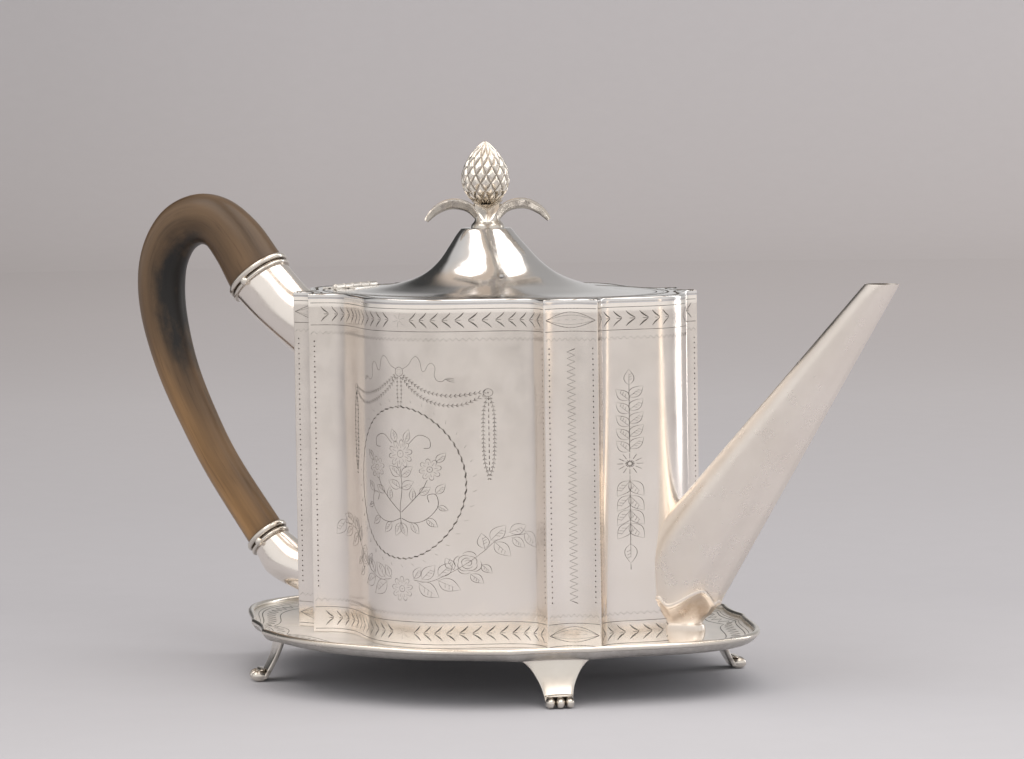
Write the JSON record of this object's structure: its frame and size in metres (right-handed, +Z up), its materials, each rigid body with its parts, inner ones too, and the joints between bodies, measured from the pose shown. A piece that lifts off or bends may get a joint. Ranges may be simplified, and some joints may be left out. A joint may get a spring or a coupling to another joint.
{
  "type": "silver teapot on stand",
  "caption": "Neoclassical silver teapot with serpentine sides, straight spout, wooden handle and hinged lid, resting on its matching footed stand.",
  "frame": {"origin": "on the floor under the middle of the stand, which is within about 1 mm of the middle of the overall length", "axes": "+X from the handle to the spout, +Y to the back long side, +Z up"},
  "size_m": [0.3068, 0.1572, 0.1779],
  "materials": {
    "silver_sheet": "raised sheet silver, polished, lightly scratched and faintly tarnished in the recesses",
    "silver_cast": "cast silver, polished on the high points and darker in the recesses",
    "handle_wood": "dark stained hardwood, waxed and worn lighter on the outside"
  },
  "bodies": {
    "stand": {"stand_tray": "silver_sheet", "stand_rim": "silver_cast", "stand_foot_front_right": "silver_cast", "stand_foot_front_left": "silver_cast", "stand_foot_back_right": "silver_cast", "stand_foot_back_left": "silver_cast"},
    "teapot": {"body_wall": "silver_sheet", "base_plate": "silver_sheet", "deck": "silver_sheet", "lid_seat": "silver_sheet", "spout": "silver_sheet", "spout_return": "silver_sheet", "upper_handle_socket": "silver_sheet", "lower_handle_socket": "silver_sheet", "hinge_leaf_deck": "silver_sheet", "hinge_pin": "silver_sheet", "upper_handle_pin": "silver_sheet", "lower_handle_pin": "silver_sheet", "upper_socket_collar": "silver_cast", "lower_socket_collar": "silver_cast", "handle": "handle_wood"},
    "lid": {"lid_shell": "silver_sheet", "lid_flange": "silver_sheet", "hinge_leaf_lid": "silver_sheet", "finial_calyx": "silver_cast", "finial_pineapple": "silver_cast", "finial_washer": "silver_sheet", "finial_nut": "silver_sheet"}
  },
  "joints": [
    {"name": "teapot_lift", "type": "slide", "parent": "stand", "child": "teapot", "axis": [0, 0, 1], "range_m": [0, 0.05]},
    {"name": "lid_hinge", "type": "hinge", "parent": "teapot", "child": "lid", "pos_m": [-0.0576, 0, 0.1289], "axis": [0, -1, 0], "range_deg": [0, 100]}
  ]
}
